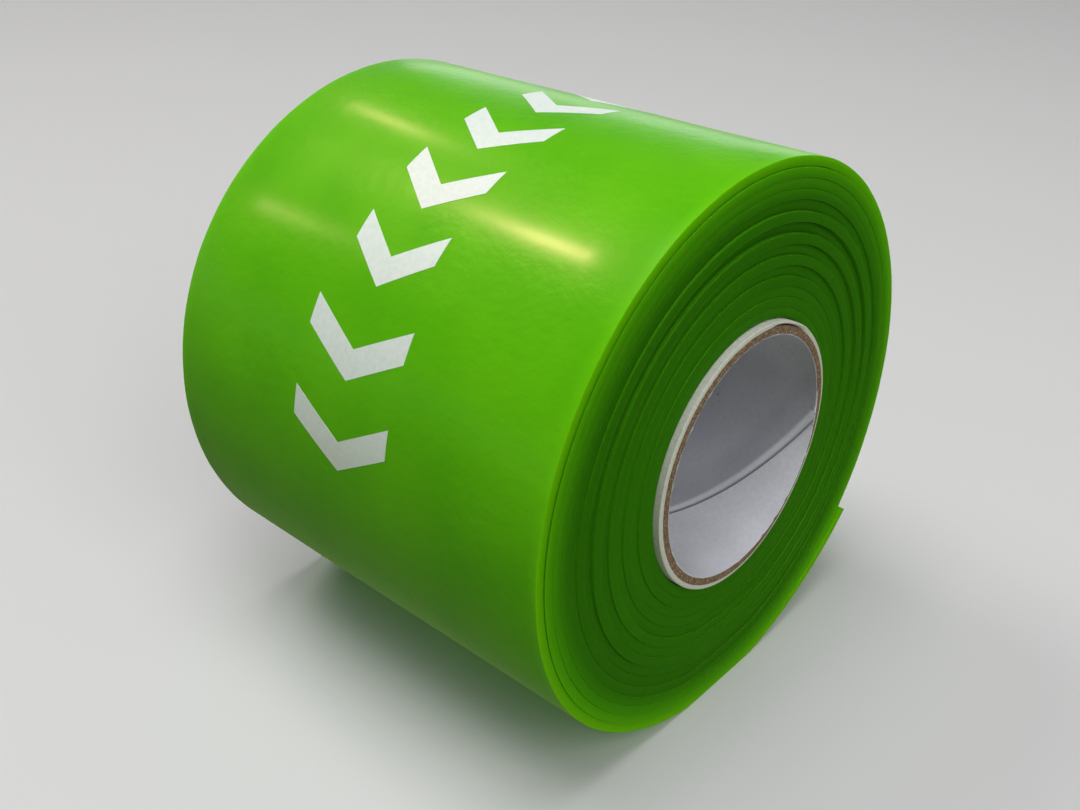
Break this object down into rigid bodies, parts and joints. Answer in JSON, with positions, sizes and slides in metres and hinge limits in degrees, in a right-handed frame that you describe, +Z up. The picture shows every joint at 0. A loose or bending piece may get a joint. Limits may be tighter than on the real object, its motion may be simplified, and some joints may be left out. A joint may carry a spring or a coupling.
{
  "type": "rolled resistance band",
  "caption": "Flat latex resistance band wound into a roll on a short paper core, lying on its side with its free end loose.",
  "frame": {"origin": "centre of the whole part's footprint, on the surface it rests on", "axes": "+X along the roll's axis towards the near end, +Z up, the free end lies towards +Y"},
  "size_m": [0.0524, 0.0594, 0.0594],
  "materials": {
    "latex": "satin dipped latex",
    "wrap_paper": "matt white paper",
    "chipboard": "raw cut edge",
    "liner_paper": "matt grey paper"
  },
  "bodies": {
    "roll": {"band_turn_01": "latex", "band_turn_02": "latex", "band_turn_03": "latex", "band_turn_04": "latex", "band_turn_05": "latex", "band_turn_06": "latex", "band_turn_07": "latex", "band_turn_08": "latex", "band_turn_09": "latex", "band_turn_10": "latex", "band_turn_11": "latex", "band_turn_12": "latex", "band_turn_13": "latex", "band_turn_14": "latex", "band_turn_15": "latex"},
    "tail_1": {"band_tail_1": "latex"},
    "tail_2": {"band_tail_2": "latex"},
    "tail_3": {"band_tail_3": "latex"},
    "tail_4": {"band_tail_4": "latex"},
    "core": {"core_wrap": "wrap_paper", "core_board": "chipboard", "core_liner": "liner_paper"}
  },
  "joints": [
    {"name": "tail_peel", "type": "hinge", "parent": "roll", "child": "tail_1", "pos_m": [0, 0.00621, 0.00048], "axis": [-1, 0, 0], "range_deg": [0, 15], "stiffness_Nm_per_rad": 0.01, "springref_deg": -1.15},
    {"name": "tail_bend_2", "type": "hinge", "parent": "tail_1", "child": "tail_2", "pos_m": [0, 0.01132, 0.00191], "axis": [-1, 0, 0], "range_deg": [0, 8.8]},
    {"name": "tail_bend_3", "type": "hinge", "parent": "tail_2", "child": "tail_3", "pos_m": [0, 0.01618, 0.0041], "axis": [-1, 0, 0], "range_deg": [0, 8.8]},
    {"name": "tail_bend_4", "type": "hinge", "parent": "tail_3", "child": "tail_4", "pos_m": [0, 0.02071, 0.00704], "axis": [-1, 0, 0], "range_deg": [0, 8.8]},
    {"name": "core_slide", "type": "slide", "parent": "roll", "child": "core", "axis": [1, 0, 0], "range_m": [-0.055, 0.055]}
  ],
  "couplings": [
    {"joint": "tail_bend_2", "follows": "tail_peel", "ratio": 0.58},
    {"joint": "tail_bend_3", "follows": "tail_peel", "ratio": 0.58},
    {"joint": "tail_bend_4", "follows": "tail_peel", "ratio": 0.58}
  ]
}
